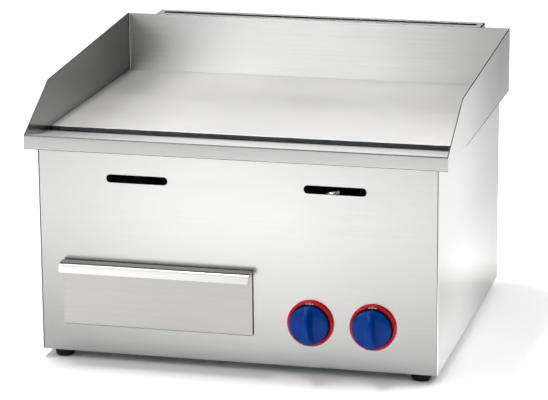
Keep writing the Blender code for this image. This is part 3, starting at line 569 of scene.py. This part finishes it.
# --- knobs and bezels -----------------------------------------------------------------------
def make_knob(side):
    """Round knob: a skirt, two scooped sides and a rounded grip left standing between them."""
    low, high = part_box(f"{side}_knob")
    centre = centre_of(f"{side}_knob")
    radius, depth = (high.x - low.x) / 2, high.y - low.y
    skirt, crest, flank, scoop = 0.0042, 0.0030, 0.0044, 0.80
    hub, hub_bore, bore_depth, hollow = 0.0080, 0.0033, 0.0150, 0.0030

    def height(x, y):
        r = min(1.0, math.hypot(x, y) / radius)
        crown = (depth - skirt) * math.sqrt(1 - r ** 2.4)
        t = min(1.0, max(0.0, (abs(x) - crest * (1.15 - 0.55 * y / radius)) / flank))
        return skirt + crown * (1 - scoop * t * t * (3 - 2 * t))

    bm = bmesh.new()
    under = ((radius, 0.0012), (radius - 0.0008, 0.0), (radius - 0.0035, 0.0), (radius - 0.0040, hollow),
             (hub, hollow), (hub - 0.0005, 0.0), (hub_bore, 0.0), (hub_bore, bore_depth))
    domed_disc(bm, Matrix.Translation((centre.x, high.y, centre.z)) @ FORWARD, radius, height, 44, 96, under)
    add_piece(f"{side}_knob_moulding", bm, "blue", f"{side}_knob", sharp=75.0)


def make_bezel(side):
    """Red dial ring with a rounded rim and a seat inside it for the knob, the seat black as painted shade of
    the gap under the knob.
    """
    low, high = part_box(f"{side}_bezel")
    centre = centre_of(f"{side}_bezel")
    radius, thick = (high.x - low.x) / 2, high.y - low.y
    place = Matrix.Translation((centre.x, high.y, centre.z)) @ FORWARD
    seat, seat_level, bore = radius - 0.0042, thick * 0.60, 0.0080
    outline = rounded_profile([
        (bore, seat_level), (seat - 0.0002, seat_level), (seat, thick), (radius * 0.96, thick),
        (radius, thick * 0.70), (radius, 0.0), (bore, 0.0)], 0.0009, 4)
    bm = bmesh.new()
    for face in revolve(bm, outline + outline[:1], place, 96):
        middle = place.inverted() @ face.calc_center_median()
        # painted shade: the seat's faces inside the rim take the black rubber finish, for the shadow under
        # the knob
        face.material_index = 1 if middle.z > thick * 0.3 and middle.xy.length < seat else 0
    bmesh.ops.remove_doubles(bm, verts=bm.verts, dist=SAME_POINT)
    add_piece(f"{side}_bezel_ring", bm, ("red", "rubber"), f"{side}_bezel")
    make_zero_mark(side, place, radius * 0.895, thick + 0.00012)


def make_zero_mark(side, place, out, level):
    """Painted zero between two ticks, at distance out above the middle of the placed dial."""
    half_wide, half_tall, inner, bars = 0.00125, 0.0019, 0.58, 20
    tick_start, tick_step, tick_half = 0.085, 0.026, 0.0006
    bm = bmesh.new()
    for i in range(bars):
        turn = 2 * math.pi * i / bars
        corners = []
        for angle in (turn, turn + 2 * math.pi / bars):
            for scale in (1.0, inner):
                x, y = half_wide * scale * math.cos(angle), out + half_tall * scale * math.sin(angle)
                corners.append(place @ Vector((x, y, level)))
        bm.faces.new([bm.verts.new(corners[k]) for k in (0, 2, 3, 1)])
    for sign in (-1, 1):
        for step in range(4):
            start = tick_start + tick_step * step
            corners = []
            for r in (out - tick_half, out + tick_half):
                for angle in (start, start + tick_step):
                    corners.append(place @ Vector((sign * r * math.sin(angle), r * math.cos(angle), level)))
            bm.faces.new([bm.verts.new(corners[k]) for k in (0, 1, 3, 2)])
    bmesh.ops.remove_doubles(bm, verts=bm.verts, dist=10 * SAME_POINT)
    bmesh.ops.recalc_face_normals(bm, faces=bm.faces)
    thicken(add_piece(f"{side}_zero_mark", bm, "white", body="chassis"), 0.00018)


# --- hardware -------------------------------------------------------------------------------
def make_foot(node):
    """Rubber foot: a slightly tapered drum with a recess below for its screw's head."""
    low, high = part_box(node)
    centre, tall = centre_of(node), high.z - low.z
    bore, recess, recess_depth = 0.0028, 0.0052, 0.0062
    outline = rounded_profile([
        (bore, tall), (0.0150, tall), (0.0151, tall - 0.0018), (0.0146, tall - 0.0022), (0.0147, 0.0080),
        (0.0134, 0.0028), (0.0112, 0.0), (recess, 0.0), (recess, recess_depth), (bore, recess_depth)], 0.0010)
    bm = bmesh.new()
    revolve(bm, outline + outline[:1], Matrix.Translation((centre.x, centre.y, low.z)), 40)
    bmesh.ops.remove_doubles(bm, verts=bm.verts, dist=SAME_POINT)
    bmesh.ops.recalc_face_normals(bm, faces=bm.faces)
    add_piece(f"{node}_moulding", bm, "rubber", node)


def make_rear_screw(node):
    """Pan-head screw with a pressed cross."""
    low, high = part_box(node)
    centre = centre_of(node)
    radius, shank, cross_depth = (high.x - low.x) / 2, 0.0020, 0.0011
    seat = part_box("rear_panel")[1].y + SEAM
    crown, tip = high.y - seat, low.y - seat

    def height(x, y):
        r = min(1.0, math.hypot(x, y) / radius)
        dome = crown * (0.35 + 0.65 * math.sqrt(1 - r ** 3))
        arm = min(abs(x), abs(y)) / (radius * 0.17)
        reach = math.hypot(x, y) / (radius * 0.62)
        return dome - cross_depth * max(0.0, 1 - arm ** 4) * max(0.0, 1 - reach ** 4)

    bm = bmesh.new()
    under = ((radius, 0.0), (shank, 0.0), (shank, tip + 0.0006), (0.0006, tip))
    domed_disc(bm, Matrix.Translation((centre.x, seat, centre.z)) @ BACKWARD, radius, height, 20, 48, under)
    add_piece(f"{node}_head", bm, "zinc", node)


def make_gas_inlet():
    """Brass nipple with a hexagon and a cut thread."""
    low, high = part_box("gas_inlet_nipple")
    centre, length = centre_of("gas_inlet_nipple"), high.y - low.y
    crest, root, pitch, thread_end = 0.0104, 0.0096, 0.0014, 0.0125
    neck, bore, bore_end = 0.0098, 0.0078, 0.0072
    across, chamfered = 0.0150, 0.0138
    thread = []
    level = length - 0.0010
    while level > thread_end:
        thread += [(crest, level), (root, level - pitch / 2)]
        level -= pitch
    outline = [(0, bore_end), (bore, bore_end), (bore, length - 0.0008), (0.0084, length), (0.0097, length),
               *thread, (neck, 0.0110), (neck, 0.0), (0, 0.0)]
    hexagon = [(0.0090, 0.0030), (chamfered, 0.0030), (across, 0.0036), (across, 0.0094), (chamfered, 0.0100),
               (0.0090, 0.0100)]
    place = Matrix.Translation((centre.x, low.y, centre.z)) @ BACKWARD
    bm = bmesh.new()
    revolve(bm, outline, place, 40)
    revolve(bm, hexagon, place, 6)
    bmesh.ops.recalc_face_normals(bm, faces=bm.faces)
    add_piece("gas_inlet_threaded", bm, "brass", "gas_inlet_nipple")


# --- floor, light and camera ----------------------------------------------------------------
def make_floor():
    """Wide pale floor under the feet."""
    bm = bmesh.new()
    bmesh.ops.create_circle(bm, cap_ends=True, segments=96, radius=30.0)
    mesh = bpy.data.meshes.new("floor")
    bm.to_mesh(mesh)
    bm.free()
    surface = Surface("pale_floor")
    clouds = surface.noise((0.8, 0.8, 0.8), 2.0)
    colour = surface.tones(surface.spread(clouds, 0.0, 1.0), (0.90, 0.90, 0.90), (0.92, 0.92, 0.92))
    mesh.materials.append(surface.finish(colour, surface.spread(clouds, 0.75, 0.85)))
    floor = bpy.data.objects.new("floor", mesh)
    bpy.context.scene.collection.objects.link(floor)


def make_world():
    """White studio surroundings, dimmer at the horizon and to the right, with a dark patch low in front."""
    world = bpy.data.worlds.new("studio")
    bpy.context.scene.world = world
    world.use_nodes = True
    sky = Graph(world.node_tree)
    direction = sky.node("ShaderNodeTexCoord").outputs["Generated"]
    axes = sky.node("ShaderNodeSeparateXYZ", {"Vector": direction}).outputs
    from_horizon = sky.spread(axes["Z"], 0.45, 1.0, 0.02, 0.24)
    to_the_right = sky.spread(axes["X"], 1.1, 0.55, -0.5, 0.9)
    level = sky.maths("MULTIPLY", from_horizon, to_the_right)
    patch = Vector((0.30, -0.92, 0.27)).normalized()
    nearness = sky.node("ShaderNodeVectorMath", {0: direction, 1: patch}, operation="DOT_PRODUCT")
    ramp = sky.node("ShaderNodeValToRGB", {"Fac": nearness.outputs["Value"]})
    ramp.color_ramp.interpolation = "EASE"
    for stop, position, grey in zip(ramp.color_ramp.elements, (0.86, 0.965), (1.0, 0.20)):
        stop.position = position
        stop.color = (grey, grey, grey, 1)
    shaded = {0: ramp.outputs["Color"], "Scale": level}
    shade = sky.node("ShaderNodeVectorMath", shaded, operation="SCALE").outputs["Vector"]
    background = sky.tree.nodes["Background"]
    sky.tree.links.new(shade, background.inputs["Color"])
    background.inputs["Strength"].default_value = 0.55


LIGHTS = (                  # name, place, aimed at, size, watts
    ("front_left_softbox", (-1.00, -2.06, 0.95), (0.0, 0.0, 0.35), (1.1, 1.0), 6.6),
    ("rear_softbox", (-0.9, 3.3, 1.3), (0.0, 0.0, 0.3), (3.0, 1.4), 14.0),
    ("front_floor_softbox", (-0.1, -1.0, 1.7), (-0.05, -1.0, 0.0), (0.8, 0.8), 2.0),
    ("right_floor_softbox", (1.4, 0.4, 1.6), (1.0, 0.2, 0.0), (1.0, 1.2), 27.0),
    ("top_softbox", (-0.6, 0.12, 3.2), (0.0, 0.0, 0.0), (1.1, 0.55), 108.0),
    ("left_key", (-1.5, -1.3, 1.3), (0.1, -0.25, 0.1), (0.4, 0.4), 9.0),
)


def make_light(name, place, target, size, power):
    """Rectangular lamp aimed at the target."""
    data = bpy.data.lights.new(name, "AREA")
    data.shape = "RECTANGLE"
    data.size, data.size_y = size
    data.energy = power
    light = bpy.data.objects.new(name, data)
    light.location = place
    light.rotation_euler = (Vector(target) - Vector(place)).to_track_quat("-Z", "Y").to_euler()
    bpy.context.scene.collection.objects.link(light)


def make_camera():
    """Camera in front on the right, looking down; turn, tilt and roll are in degrees."""
    place, turn, tilt, roll = (0.9638, -3.8726, 1.2487), 14.063, 14.902, -0.416
    data = bpy.data.cameras.new("camera")
    data.lens = 181.85
    data.sensor_width = 36.0
    data.clip_end = 100.0
    camera = bpy.data.objects.new("camera", data)
    camera.matrix_world = (
        Matrix.Translation(place) @ Matrix.Rotation(math.radians(turn), 4, "Z")
        @ Matrix.Rotation(math.radians(90.0 - tilt), 4, "X") @ Matrix.Rotation(math.radians(roll), 4, "Z"))
    bpy.context.scene.collection.objects.link(camera)
    bpy.context.scene.camera = camera


make_camera()
make_floor()
make_world()
for light_row in LIGHTS:
    make_light(*light_row)
make_sheets()
make_plate()
make_drawer_front()
make_weld_beads()
make_lighting_tab()
make_gas_inlet()
for node_name in NODES:
    if node_name.endswith("_foot"):
        make_foot(node_name)
    elif node_name.endswith("_rear_screw"):
        make_rear_screw(node_name)
for side_name in SIDES:
    make_knob(side_name)
    make_bezel(side_name)

bpy.context.scene.view_settings.view_transform = "Standard"
